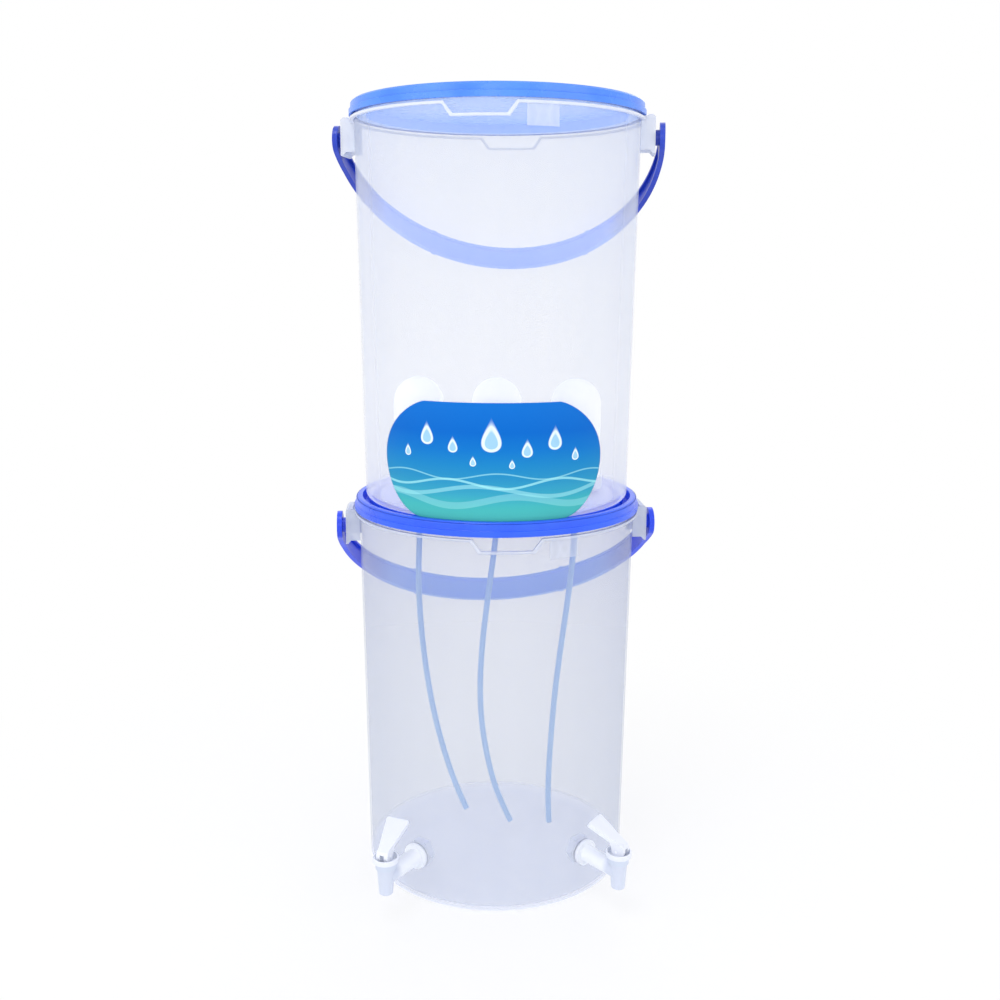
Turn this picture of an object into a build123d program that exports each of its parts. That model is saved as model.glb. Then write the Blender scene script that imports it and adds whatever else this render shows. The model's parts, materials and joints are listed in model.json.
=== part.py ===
"""Gravity water filter: two stacked lidded buckets, three candle filters, two lever taps.

The lower bucket stands on the floor with its centre at the origin and its front towards -Y.
The upper bucket stands in the lower lid. Its three filter candles are screwed through the
upper floor and the lower lid, and a hose hangs from each stem into the lower bucket.
Sizes are in millimetres, +Z is up.
"""
from build123d import *
from math import acos, asin, atan2, cos, degrees, hypot, pi, radians, sin, tan
import os

os.makedirs("parts", exist_ok=True)

# ---- fits ----
running = 0.05              # radial clearance of a shaft in its hole
loose = 0.3                 # clearance between pieces that lift apart

# ---- bucket ----
neck_radius = 139.3         # outside, at the neck rib
wall_draft = 7.2            # the foot is this much narrower in radius than the neck
bucket_height = 383.0
wall = 1.8
floor_thickness = 2.2
foot_height = 2.5           # the floor stands this far off the ground
foot_width = 9.0
corner_radius = 6.0
bead_proud = 1.4            # thickened lip that carries the lid, outside the neck's radius
bead_height = 5.5
rib_proud = 4.2             # width of the neck rib
rib_thickness = 2.2
tab_top_width = 70.0        # the neck rib dips at the front and back as a thumb tab
tab_bottom_width = 51.5
tab_drop = 10.9
pad_size = (27.0, 19.0, 0.8)  # plain raised pad beside the front tab: width, height, thickness
lower_turn = 4.0            # each bucket's own turn about the stack's axis, degrees
upper_turn = -6.2

# ---- lid ----
lid_wall = 1.8
lid_skirt = 13.2            # height of the skirt outside the bucket's lip
lid_band_wall = 1.4         # upper band of the skirt, outside the lip
lid_band_step = 1.6         # the lower band stands this much wider
lid_band_height = 7.4       # from the lid's top down to the step between the bands
lid_seat_depth = 1.3        # the stacking platform lies this far below the lid's top
lid_moat_width = 7.0
lid_groove_depth = 1.2

# ---- handle ----
ear_reach = 13.2            # from the neck's radius to the outer face of the ear plate
ear_plate = 2.0
ear_width = 34.0
ear_drop = 31.5             # height of the ear's hood
ear_gap = 0.6               # between the hood and the lid's edge
ear_shoulder = 1.2          # the hood rises this much outside the lid's edge
ear_tail = 3.5              # the outer plate hangs below the hood
pivot_drop = 19.5           # the pivot lies this far below the lid's edge
stud_radius = 4.5
boss_radius = 7.5
boss_length = 4.0
end_disc_radius = 14.2
strap_thickness = 5.0       # depth of the channel's lips
strap_web = 2.2
strap_lip = 2.4
strap_width = 26.0          # at the grip
strap_leg_width = 22.0
handle_depth = 188.6        # from the pivot to the outside of the grip
grip_half_length = 84.0     # small nubs on both edges mark the grip's ends
grip_bump = 1.3
grip_bump_length = 4.0

# ---- label ----
label_width = 231.0         # measured round the wall
label_foot_width = 144.0    # where the film ends on the bucket's bottom corner
label_top_width = 130.0
label_top = 109.0           # above the upper bucket's foot
label_bottom = 1.2
label_film = 0.3
label_turn = -2.0

# ---- candle ----
candle_spacing = 80.0
dome_radius = 25.0
dome_height = 111.5
dome_wall = 6.0
core_radius = 17.0
core_height = 90.0
cup_radius = 27.2
cup_height = 14.0
cup_floor = 3.0
stem_radius = 6.0
stem_bore = 2.0
stem_tail = 6.4             # thread showing below the nut
washer_radius = 15.0
washer_thickness = 2.5
candle_nut_size = 23.0      # across flats
wing_span = 37.0
wing_thickness = 4.0
candle_nut_height = 8.0
nipple_length = 6.0
hose_diameter = 6.0

# ---- tap ----
tap_height = 46.6           # barrel axis above the ground
tap_length = 45.7           # spout axis from the bucket's wall
tap_turns = {"left": -35.0, "right": 40.8}        # from the front, degrees
lever_twists = {"left": 13.7, "right": 14.8}      # levers swivelled off the barrel's line
barrel_radius = 8.2
barrel_bore = 4.8
flange_radius = 12.4
flange_thickness = 2.0
shank_radius = 7.8
gasket_radius = 12.4
gasket_thickness = 1.5      # where the wall bulges nearest
tap_nut_size = 24.0
tap_nut_height = 7.0
shank_tail = 3.0
spout_drop = 16.9           # below the barrel's axis
spout_radius = 6.5
spout_bore = 4.5
spout_bore_length = 9.0
chamber_radius = 8.3
chamber_bore = 6.6
chamber_floor = -6.0
chamber_top = 14.2
gland_radius = 7.2
seat_hole = 3.6
bonnet_skirt_radius = 9.7
bonnet_skirt_bottom = 8.7
bonnet_ring_radius = 12.3
bonnet_ring_bottom = 14.8
bonnet_ring_top = 20.0
bonnet_floor = 15.8         # bottom of the recess in the bonnet's top
bonnet_recess = 10.6
gland_thickness = 1.5
stem_rod_radius = 2.0
seat_radius = 5.6
seat_height = 7.0
barb_radius = 3.2
barb_height = 1.5
pin_radius = 1.2

# ---- tap lever: an eccentric foot lifts the stem as the lever tips forward ----
lift = 3.0
lever_swing = 80.0
foot_radius = 6.5
foot_clearance = 0.1
hub_width = 11.5
hub_slot = 4.2
paddle_start = (-6.6, 6.6)  # front end of the paddle's top face, from the pin
paddle_length = 37.6
paddle_slope = 27.6         # above horizontal, leaning back over the barrel
paddle_narrow = 10.2
paddle_wide = 23.8
paddle_thickness = 4.5

# ---- radii and heights that follow ----
base_radius = neck_radius - wall_draft
bead_radius = neck_radius + bead_proud
rib_radius = neck_radius + rib_proud
lid_band_radius = bead_radius + loose + lid_band_wall
lid_radius = lid_band_radius + lid_band_step
ear_radius = neck_radius + ear_reach
lid_top_z = bucket_height + lid_wall
lid_edge_z = lid_top_z - lid_skirt
stack_pitch = lid_top_z - lid_seat_depth
rib_top_z = lid_edge_z - 2.4
rib_low_z = rib_top_z - rib_thickness
pivot_z = lid_edge_z - pivot_drop
floor_top_z = foot_height + floor_thickness
lift_eccentric = lift / 2 / sin(radians(lever_swing / 2))
wall_taper = atan2(neck_radius - base_radius, rib_low_z)
corner_centre = (base_radius + corner_radius * (tan(wall_taper) - 1 / cos(wall_taper)), corner_radius)
pin_height = foot_radius + foot_clearance - lift / 2      # above the bonnet's floor, closed
pin_z = bonnet_floor + pin_height


def wall_radius(z):
    """Outside radius of the tapered bucket wall at height z above its foot."""
    return base_radius + (neck_radius - base_radius) * z / rib_low_z


def near(points, x, y):
    """The sketch corner that lies nearest (x, y)."""
    return points.sort_by_distance((x, y, 0))[0]


def save(part, name):
    """Label a finished piece and write it under its own name."""
    part.label = name
    export_step(part, f"parts/{name}.step")


def hexagon(size):
    """A hexagon that measures size across its flats."""
    return RegularPolygon(size / 2, 6, major_radius=False)


# ======================= buckets =======================

def bucket_envelope(skin, low, high):
    """Solid of revolution that fills the bucket's outside surface, grown by skin."""
    with BuildPart() as envelope:
        with BuildSketch(Plane.XZ):
            Polygon(
                (0, low), (wall_radius(low) + skin, low), (wall_radius(high) + skin, high), (0, high),
                align=None,
            )
        revolve(axis=Axis.Z)
    return envelope.part


def bucket_body():
    """Tapered wall, raised floor, foot ring, neck rib and lip as one revolved section."""
    bead_low_z = bucket_height - bead_height
    foot_inner = base_radius - corner_radius - foot_width
    inner_corner = corner_radius - wall
    with BuildPart() as body:
        with BuildSketch(Plane.XZ) as section:
            with BuildLine():
                Polyline(
                    (0, foot_height),
                    (foot_inner, foot_height),
                    (foot_inner + 1, 0),
                    (wall_radius(0), 0),
                    (wall_radius(rib_low_z), rib_low_z),
                    (rib_radius, rib_low_z),
                    (rib_radius, rib_top_z),
                    (wall_radius(rib_top_z), rib_top_z),
                    (wall_radius(bead_low_z), bead_low_z),
                    (bead_radius, bead_low_z),
                    (bead_radius, bucket_height),
                    (wall_radius(bucket_height) - wall, bucket_height),
                    (wall_radius(floor_top_z) - wall, floor_top_z),
                    (0, floor_top_z),
                    close=True,
                )
            make_face()
            fillet(near(section.vertices(), wall_radius(0), 0), corner_radius)
            chamfer(near(section.vertices(), wall_radius(floor_top_z) - wall, floor_top_z), inner_corner / 2)
        revolve(axis=Axis.Z)
    return body.part


def neck_band(outline, inner_skin):
    """The part of a front-view outline that lies outside the wall, at the front and at the back."""
    low = rib_low_z - 3 * tab_drop
    with BuildPart() as band:
        with BuildSketch(Plane.XZ):
            Polygon(*outline, align=None)
        extrude(amount=1.1 * rib_radius, both=True)
        with BuildSketch(Plane.XZ):
            Polygon(
                (wall_radius(low) + inner_skin, low),
                (rib_radius, low),
                (rib_radius, bucket_height),
                (wall_radius(bucket_height) + inner_skin, bucket_height),
                align=None,
            )
        revolve(axis=Axis.Z, mode=Mode.INTERSECT)
    return band.part


def tab_outline(inset, top, bottom):
    """Trapezoid of the thumb tab, drawn in by inset at its sides."""
    half_top = tab_top_width / 2 - inset
    half_bottom = tab_bottom_width / 2 - inset
    return [(-half_top, top), (-half_bottom, bottom), (half_bottom, bottom), (half_top, top)]


def ear():
    """Hooded bearing for the handle's stud: outer plate, top and two side webs, open below."""
    top = lid_edge_z - ear_gap
    shoulder = top + ear_shoulder
    low = top - ear_drop
    inner = wall_radius(low) - wall / 2
    plate_x = ear_radius - ear_plate
    with BuildPart() as block:
        with BuildSketch(Plane.XZ):
            Polygon(
                (inner, top),
                (lid_radius + 0.8, top),
                (lid_radius + 1.4, shoulder),
                (ear_radius - 2.5, shoulder),
                (ear_radius, shoulder - 2.5),
                (ear_radius, low - ear_tail),
                (plate_x, low - ear_tail),
                (plate_x - 3, low),
                (inner, low),
                align=None,
            )
        extrude(amount=ear_width / 2, both=True)
        with BuildSketch(Plane.XZ):
            Polygon(
                (inner - 2, top - wall),
                (plate_x, top - wall),
                (plate_x, low - ear_tail - 1),
                (inner - 2, low - ear_tail - 1),
                align=None,
            )
        extrude(amount=ear_width / 2 - wall, both=True, mode=Mode.SUBTRACT)
        with BuildSketch(Plane.YZ.offset(plate_x - 1)):
            with Locations((0, pivot_z)):
                Circle(stud_radius + running)
        extrude(amount=ear_plate + 2, mode=Mode.SUBTRACT)
    with BuildPart() as clipped:
        add(block.part)
        add(bucket_envelope(-wall / 2, 0, bucket_height), mode=Mode.SUBTRACT)
    return clipped.part


def bucket():
    """One complete bucket in its own frame, front towards -Y."""
    rib = neck_band(tab_outline(0, rib_top_z, rib_low_z - tab_drop), -wall / 2)
    gap = neck_band(tab_outline(rib_thickness, rib_top_z + 1, rib_top_z - tab_drop), 0)
    pad_width, pad_height, pad_thickness = pad_size
    pad_x = tab_top_width / 2 + 5 + pad_width / 2
    with BuildPart() as pad:
        with BuildSketch(Plane.XZ):
            with Locations((pad_x, rib_low_z + 0.5 - pad_height / 2)):
                Rectangle(pad_width, pad_height)
        extrude(amount=rib_radius)
        add(bucket_envelope(pad_thickness, 0, bucket_height), mode=Mode.INTERSECT)
        add(bucket_envelope(-wall / 2, 0, bucket_height), mode=Mode.SUBTRACT)
    with BuildPart() as whole:
        add(bucket_body())
        add(rib)
        add(gap, mode=Mode.SUBTRACT)
        add(pad.part)
        one_ear = ear()
        with PolarLocations(0, 2):
            add(one_ear)
    return whole.part


candle_places = {"left": -candle_spacing, "centre": 0.0, "right": candle_spacing}
stem_hole = stem_radius + 0.2
shank_hole = shank_radius + 0.3
plain_bucket = bucket()

with BuildPart() as lower_bucket:
    add(plain_bucket, rotation=(0, 0, lower_turn))
    for turn in tap_turns.values():
        radial = Plane(
            origin=(0, 0, tap_height), x_dir=(cos(radians(turn)), sin(radians(turn)), 0),
            z_dir=(sin(radians(turn)), -cos(radians(turn)), 0),
        )
        with BuildSketch(radial.offset(base_radius - 3 * wall)):
            Circle(shank_hole)
        extrude(amount=6 * wall, mode=Mode.SUBTRACT)
save(lower_bucket.part, "lower_bucket")

upper_place = Location((0, 0, stack_pitch), (0, 0, upper_turn))
with BuildPart() as upper_bucket:
    add(plain_bucket)
    with BuildSketch(Plane.XY):
        with Locations(*[(x, 0) for x in candle_places.values()]):
            Circle(stem_hole)
    extrude(amount=2 * floor_top_z, mode=Mode.SUBTRACT)
save(upper_bucket.part.moved(upper_place), "upper_bucket")


# ======================= lids =======================

def lid():
    """Two-banded skirt over the lip, plug wall inside it, moat and raised stacking platform."""
    plug_radius = wall_radius(bucket_height) - wall - loose
    plug_low_z = lid_edge_z + 0.5
    rim_inner = plug_radius - lid_wall
    platform = rim_inner - lid_moat_width
    step_z = lid_top_z - lid_band_height
    groove_x = (lid_band_radius + rim_inner) / 2 + 1
    with BuildPart() as shell:
        with BuildSketch(Plane.XZ) as section:
            with BuildLine():
                Polyline(
                    (0, stack_pitch),
                    (platform, stack_pitch),
                    (platform + 0.6, plug_low_z + lid_wall),
                    (rim_inner, plug_low_z + lid_wall),
                    (rim_inner, lid_top_z),
                    (groove_x, lid_top_z),
                    (groove_x + 1, lid_top_z - lid_groove_depth),
                    (lid_band_radius, lid_top_z - lid_groove_depth),
                    (lid_band_radius, step_z),
                    (lid_radius, step_z - 0.5),
                    (lid_radius, lid_edge_z),
                    (lid_radius - lid_wall, lid_edge_z),
                    (lid_radius - lid_wall, step_z - 1.6),
                    (bead_radius + loose, step_z - 1.0),
                    (bead_radius + loose, bucket_height),
                    (plug_radius, bucket_height),
                    (plug_radius, plug_low_z),
                    (platform + 0.6 - lid_wall, plug_low_z),
                    (platform - lid_wall, stack_pitch - lid_wall),
                    (0, stack_pitch - lid_wall),
                    close=True,
                )
            make_face()
            rounded = near(section.vertices(), lid_band_radius, lid_top_z - lid_groove_depth)
            chamfer(rounded, 0.6 * lid_groove_depth)
        revolve(axis=Axis.Z)
    return shell.part


plain_lid = lid()

with BuildPart() as lower_lid:
    add(plain_lid, rotation=(0, 0, upper_turn))
    turned = Plane.XY.offset(stack_pitch - 2 * lid_wall).rotated((0, 0, upper_turn))
    with BuildSketch(turned):
        with Locations(*[(x, 0) for x in candle_places.values()]):
            Circle(stem_hole)
    extrude(amount=3 * lid_wall, mode=Mode.SUBTRACT)
save(lower_lid.part, "lower_lid")

save(plain_lid.moved(upper_place), "upper_lid")


# ======================= handles =======================

def half_ellipse_band(outer, inner):
    """U-shaped face between two ellipses, open towards -Y, carried on past the pivot."""
    Ellipse(*outer)
    Ellipse(*inner, mode=Mode.SUBTRACT)
    with Locations((0, -outer[1] / 2)):
        Rectangle(2 * outer[0], outer[1], mode=Mode.SUBTRACT)
    for side in (-1, 1):
        with Locations((side * (outer[0] + inner[0]) / 2, -end_disc_radius / 2)):
            Rectangle(outer[0] - inner[0], end_disc_radius)


def strap_side(inset, start):
    """Side view of the strap: legs that widen a little to the grip, drawn in by inset."""
    leg = strap_leg_width / 2 - inset
    grip = strap_width / 2 - inset
    flare = 0.50 * handle_depth
    shoulder = 0.82 * handle_depth
    end = handle_depth + 1
    Polygon(
        (start, -leg), (flare, -leg), (shoulder, -grip), (end, -grip),
        (end, grip), (shoulder, grip), (flare, leg), (start, leg),
        align=None,
    )
    slow_bends = [v for v in vertices() if flare - 1 < v.X < shoulder + 1]
    fillet(slow_bends, 140)


def leg_root():
    """Side view of the strap's end: a disc about the pivot that narrows smoothly into the leg."""
    Circle(end_disc_radius)
    leg = strap_leg_width / 2
    Polygon(
        (0, -end_disc_radius), (2.4 * end_disc_radius, -leg), (2.4 * end_disc_radius, leg),
        (0, end_disc_radius), align=None,
    )


def handle():
    """Bent channel-section strap in the XY plane, pivot axis along X, grip towards +Y."""
    outer = (ear_radius + loose + boss_length + strap_thickness, handle_depth)
    inner = (outer[0] - strap_thickness, outer[1] - strap_thickness)
    web = (outer[0] - strap_web, outer[1] - strap_web)
    with BuildPart() as channel:
        with BuildSketch(Plane.XY):
            half_ellipse_band(web, (inner[0] - 1, inner[1] - 1))
        extrude(amount=strap_width, both=True)
        with BuildSketch(Plane.YZ):
            strap_side(strap_lip, end_disc_radius + 4)
        extrude(amount=outer[0], both=True, mode=Mode.INTERSECT)
    with BuildPart() as nubs:
        with BuildSketch(Plane.XY):
            half_ellipse_band(outer, inner)
        extrude(amount=strap_width, both=True)
        with BuildSketch(Plane.XZ):
            with Locations((-grip_half_length, 0), (grip_half_length, 0)):
                Rectangle(grip_bump_length, strap_width + 2 * grip_bump)
        extrude(amount=-handle_depth, mode=Mode.INTERSECT)
    with BuildPart() as strap:
        with BuildSketch(Plane.XY):
            half_ellipse_band(outer, inner)
        extrude(amount=strap_width, both=True)
        with BuildSketch(Plane.YZ):
            strap_side(0, 0)
            leg_root()
        extrude(amount=outer[0], both=True, mode=Mode.INTERSECT)
        add(nubs.part)
        add(channel.part, mode=Mode.SUBTRACT)
        for side in (-1, 1):
            face = Plane.YZ if side > 0 else Plane.YZ.rotated((0, 0, 180))
            with BuildSketch(face.offset(ear_radius + loose)):
                Circle(boss_radius)
            extrude(amount=boss_length + 1)
            with BuildSketch(face.offset(ear_radius - ear_plate - loose)):
                Circle(stud_radius)
            extrude(amount=ear_plate + 2 * loose + 1)
            with BuildSketch(face.offset(ear_radius - ear_plate - loose - 2.2)):
                Circle(stud_radius + 1.3)
            extrude(amount=2.2)
    return strap.part


def hang_angle():
    """Angle below horizontal at which the grip's lower edge comes to rest by the wall."""
    grip_inner = handle_depth - strap_thickness
    half = strap_width / 2
    arm = hypot(grip_inner, half)
    angle = radians(37)
    for _ in range(5):
        z = pivot_z - grip_inner * sin(angle) - half * cos(angle)
        angle = acos((wall_radius(z) + 2 * loose) / arm) - atan2(half, grip_inner)
    return degrees(angle)


handle_rest = hang_angle()
hanging = handle().rotate(Axis.X, -handle_rest)
save(hanging.moved(Location((0, 0, pivot_z), (0, 0, lower_turn))), "lower_handle")
save(hanging.moved(Location((0, 0, pivot_z + stack_pitch), (0, 0, upper_turn))), "upper_handle")


# ======================= label =======================

def corner_arc(skin):
    """Section of the bucket's rounded bottom corner, grown by skin, from the label's bottom up."""
    start = -degrees(asin((corner_radius - label_bottom) / (corner_radius + skin)))
    return CenterArc(corner_centre, corner_radius + skin, start, -start - degrees(wall_taper))


def film_line(skin):
    """Section of the wall's outside, grown by skin, from the rounded corner to the label's top."""
    offset = (corner_radius + skin) * cos(wall_taper)
    low = (corner_centre[0] + offset, corner_radius - (corner_radius + skin) * sin(wall_taper))
    return low, (low[0] + (label_top - low[1]) * tan(wall_taper), label_top)


def label():
    """Thin film with bulging ends, wrapped on the front of the wall."""
    gap = 0.05
    middle_z = (label_top + label_bottom) / 2
    radius = wall_radius(middle_z)
    half_widths = (label_top_width / 2, label_width / 2, label_foot_width / 2)
    top, middle, foot = [
        (radius * sin(width / radius), z)
        for width, z in zip(half_widths, (label_top, middle_z, label_bottom))
    ]
    with BuildPart() as film:
        with BuildSketch(Plane.XZ):
            with BuildLine():
                right = Spline(top, middle, foot, tangents=((1, -0.4), (-1, -0.3)))
                mirror(right, about=Plane.YZ)
                Line((-top[0], top[1]), top)
                Line((-foot[0], foot[1]), foot)
            make_face()
        extrude(amount=1.1 * neck_radius)
        with BuildSketch(Plane.XZ):
            with BuildLine():
                inner = Line(*film_line(gap))
                outer = Line(*film_line(gap + label_film))
                inner_toe = corner_arc(gap)
                outer_toe = corner_arc(gap + label_film)
                Line(inner @ 1, outer @ 1)
                Line(inner_toe @ 0, outer_toe @ 0)
            make_face()
        revolve(axis=Axis.Z, mode=Mode.INTERSECT)
    return film.part


save(label().moved(Location((0, 0, stack_pitch), (0, 0, label_turn))), "label")


# ======================= candles =======================

washer_top = floor_top_z + washer_thickness
nut_top = -lid_wall
thread_end = nut_top - candle_nut_height - stem_tail
hose_top = thread_end - nipple_length


def candle_dome():
    """Hollow ceramic candle with a round top, standing in the cup."""
    bottom = washer_top + cup_floor
    top = washer_top + dome_height
    inner = dome_radius - dome_wall
    with BuildPart() as dome:
        with BuildSketch(Plane.XZ):
            with BuildLine():
                Line((dome_radius, bottom), (dome_radius, top - dome_radius))
                CenterArc((0, top - dome_radius), dome_radius, 0, 90)
                Line((0, top), (0, top - dome_wall))
                Line((0, top - dome_wall), (inner / 2, top - dome_wall))
                Line((inner / 2, top - dome_wall), (inner, top - dome_radius))
                Line((inner, top - dome_radius), (inner, bottom))
                Line((inner, bottom), (dome_radius, bottom))
            make_face()
        revolve(axis=Axis.Z)
    return dome.part


def candle_core():
    """Carbon cartridge that stands inside the ceramic."""
    with BuildPart() as core:
        with BuildSketch(Plane.XY.offset(washer_top + cup_floor)):
            Circle(core_radius)
        extrude(amount=core_height)
        chamfer(core.edges().group_by(Axis.Z)[-1], 3)
    return core.part


def candle_base():
    """Cup, threaded stem and hose nipple moulded as one, bored through for the water."""
    with BuildPart() as base:
        with BuildSketch(Plane.XZ) as section:
            with BuildLine():
                Polyline(
                    (stem_bore, washer_top + cup_floor),
                    (dome_radius + 0.1, washer_top + cup_floor),
                    (dome_radius + 0.1, washer_top + cup_height),
                    (cup_radius, washer_top + cup_height),
                    (cup_radius, washer_top + 2),
                    (cup_radius - 2, washer_top),
                    (stem_radius, washer_top),
                    (stem_radius, thread_end),
                    (hose_diameter / 2, thread_end - 1),
                    (hose_diameter / 2, hose_top),
                    (stem_bore, hose_top),
                    close=True,
                )
            make_face()
        revolve(axis=Axis.Z)
    return base.part


def ring(radius, hole, bottom, height):
    """Flat ring such as a washer."""
    with BuildPart() as washer:
        with BuildSketch(Plane.XY.offset(bottom)):
            Circle(radius)
            Circle(hole, mode=Mode.SUBTRACT)
        extrude(amount=height)
    return washer.part


def candle_nut():
    """Hexagon nut with two finger wings, below the lower lid."""
    with BuildPart() as nut:
        with BuildSketch(Plane.XY.offset(nut_top - candle_nut_height)):
            hexagon(candle_nut_size)
            Rectangle(wing_span, wing_thickness)
        extrude(amount=candle_nut_height)
        with BuildSketch(Plane.XY.offset(nut_top - candle_nut_height)):
            Circle(stem_radius + running)
        extrude(amount=candle_nut_height, mode=Mode.SUBTRACT)
    return nut.part


candle_pieces = {
    "dome": candle_dome(),
    "core": candle_core(),
    "base": candle_base(),
    "washer": ring(washer_radius, stem_radius + running, floor_top_z, washer_thickness),
    "nut": candle_nut(),
}
for side, x in candle_places.items():
    for piece, shape in candle_pieces.items():
        save(shape.moved(upper_place * Location((x, 0, 0))), f"candle_{side}_{piece}")

with BuildPart() as stem_spacers:
    with Locations(*[(x, 0, 0) for x in candle_places.values()]):
        add(ring(washer_radius - 1, stem_radius + running, 0, foot_height))
save(stem_spacers.part.moved(upper_place), "stem_spacers")


# ======================= hoses =======================

# Each bend is an offset from the stem and a share of the stem end's height above the ground.
hose_routes = {
    "left": [
        (0, 0, 0.924), (-2, 0.4, 0.806), (0.5, -1.6, 0.665), (6.5, -3.6, 0.519), (15.5, -5.6, 0.382),
        (27.5, -7.6, 0.261), (39, -9.6, 0.170), (48.5, -10.6, 0.112),
    ],
    "centre": [
        (0, 0, 0.947), (-3.2, 0.5, 0.867), (-9, 1, 0.746), (-14.9, 0.5, 0.604), (-17, -0.5, 0.463),
        (-13.5, -1, 0.337), (-3.3, 0, 0.200), (7.6, 1, 0.119), (16, 2.2, 0.068),
    ],
    "right": [
        (0, 0, 0.947), (-1.2, 0.6, 0.867), (-5.7, 2.4, 0.746), (-11.8, 5, 0.614), (-17.8, 7.4, 0.463),
        (-21.4, 8.8, 0.316), (-23.4, 9.4, 0.190), (-23, 10, 0.114), (-22, 10.4, 0.065),
    ],
}


def hose_points(side):
    """Corner points of a hose, from its stem down."""
    end = (upper_place * Location((candle_places[side], 0, hose_top))).position
    bends = [(end.X + dx, end.Y + dy, end.Z * share) for dx, dy, share in hose_routes[side]]
    return [tuple(end)] + bends


def bend_radii(points):
    """Largest arc that each corner's runs allow."""
    radii = []
    for before, corner, after in zip(points, points[1:], points[2:]):
        first = Vector(*corner) - Vector(*before)
        second = Vector(*after) - Vector(*corner)
        shorter = min(first.length, second.length)
        radii.append(0.45 * shorter / tan(radians(first.get_angle(second)) / 2))
    return radii


for side in hose_routes:
    points = hose_points(side)
    radii = bend_radii(points)
    with BuildPart() as hose:
        with BuildLine() as path:
            FilletPolyline(*points, radius=radii)
        with BuildSketch(Plane(origin=path.wire() @ 0, z_dir=path.wire() % 0)):
            Circle(hose_diameter / 2)
        sweep(path=path.wire())
    length = path.wire().length
    share = hose.part.volume / (pi * hose_diameter ** 2 / 4 * length)
    print(f"hose_{side}: length {length:.1f}, volume / (section x length) {share:.4f}")
    print("  bend radii", [round(r) for r in radii])
    save(hose.part, f"hose_{side}")


# ======================= taps =======================
# Each piece is drawn round the spout's axis with the bucket towards -X and the barrel's
# axis at z = 0.

tap_reach = wall_radius(tap_height) + tap_length    # spout axis from the stack's axis
wall_x = -tap_length                                # bucket's outside surface
flange_x = wall_x + gasket_thickness            # flange's face towards the bucket
inside_x = wall_x - wall                            # bucket's inside surface
nut_x = inside_x - 2 * gasket_thickness             # nut's face towards the wall


def across(x):
    """Plane that faces +X at x."""
    return Plane.YZ.offset(x)


def tap_body():
    """Barrel, flange, threaded shank, valve chamber and spout as one moulding."""
    with BuildPart() as body:
        with BuildSketch(Plane.XZ) as section:
            with BuildLine():
                Polyline(
                    (0, -spout_drop), (spout_radius, -spout_drop), (chamber_radius, bonnet_skirt_bottom - 0.6),
                    (chamber_radius, chamber_top), (0, chamber_top), close=True,
                )
            make_face()
            fillet(near(section.vertices(), spout_radius, -spout_drop), 1.2)
        revolve(axis=Axis.Z)
        with BuildSketch(across(flange_x)):
            Circle(barrel_radius)
        extrude(amount=-flange_x)
        with BuildSketch(across(flange_x)):
            Circle(flange_radius)
        extrude(amount=flange_thickness)
        with BuildSketch(across(nut_x - tap_nut_height - shank_tail)):
            Circle(shank_radius)
        extrude(amount=flange_x - nut_x + tap_nut_height + shank_tail)
        with BuildSketch(across(nut_x - tap_nut_height - shank_tail)):
            Circle(barrel_bore)
        extrude(amount=tap_nut_height + shank_tail - nut_x, mode=Mode.SUBTRACT)
        with BuildSketch(Plane.XY.offset(chamber_floor)):
            Circle(chamber_bore)
        extrude(amount=chamber_top - chamber_floor, mode=Mode.SUBTRACT)
        with BuildSketch(Plane.XY.offset(chamber_top - gland_thickness)):
            Circle(gland_radius)
        extrude(amount=gland_thickness, mode=Mode.SUBTRACT)
        with BuildSketch(Plane.XY.offset(-spout_drop)):
            Circle(seat_hole)
        extrude(amount=spout_drop + chamber_floor, mode=Mode.SUBTRACT)
        with BuildSketch(Plane.XY.offset(-spout_drop)):
            Circle(spout_bore)
        extrude(amount=spout_bore_length, mode=Mode.SUBTRACT)
    return body.part


def tap_bonnet():
    """Screwed cap with a skirt, a gripping ring and a round recess for the lever's foot."""
    with BuildPart() as bonnet:
        with BuildSketch(Plane.XZ) as section:
            with BuildLine():
                Polyline(
                    (stem_rod_radius + running, chamber_top),
                    (chamber_radius + running, chamber_top),
                    (chamber_radius + running, bonnet_skirt_bottom),
                    (bonnet_skirt_radius, bonnet_skirt_bottom),
                    (bonnet_skirt_radius, bonnet_ring_bottom),
                    (bonnet_ring_radius, bonnet_ring_bottom + 0.6),
                    (bonnet_ring_radius, bonnet_ring_top),
                    (bonnet_recess, bonnet_ring_top),
                    (bonnet_recess - 0.5, bonnet_floor),
                    (stem_rod_radius + running, bonnet_floor),
                    close=True,
                )
            make_face()
            chamfer(near(section.vertices(), bonnet_ring_radius, bonnet_ring_top), 0.6)
        revolve(axis=Axis.Z)
    return bonnet.part


def tap_stem():
    """Rod with a barb in the seat at its foot and a cross pin for the lever at its top."""
    barb_z = chamber_floor + 3.0
    with BuildPart() as stem:
        with BuildSketch(Plane.XY.offset(chamber_floor + 1.5)):
            Circle(stem_rod_radius)
        extrude(amount=pin_z + stem_rod_radius + 0.6 - chamber_floor - 1.5)
        chamfer(stem.edges().group_by(Axis.Z)[-1], 0.6)
        with BuildSketch(Plane.XY.offset(barb_z)):
            Circle(barb_radius)
        extrude(amount=barb_height)
        with BuildSketch(Plane.XZ):
            with Locations((0, pin_z)):
                Circle(pin_radius)
        extrude(amount=hub_width / 2 - 0.1, both=True)
    return stem.part


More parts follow.
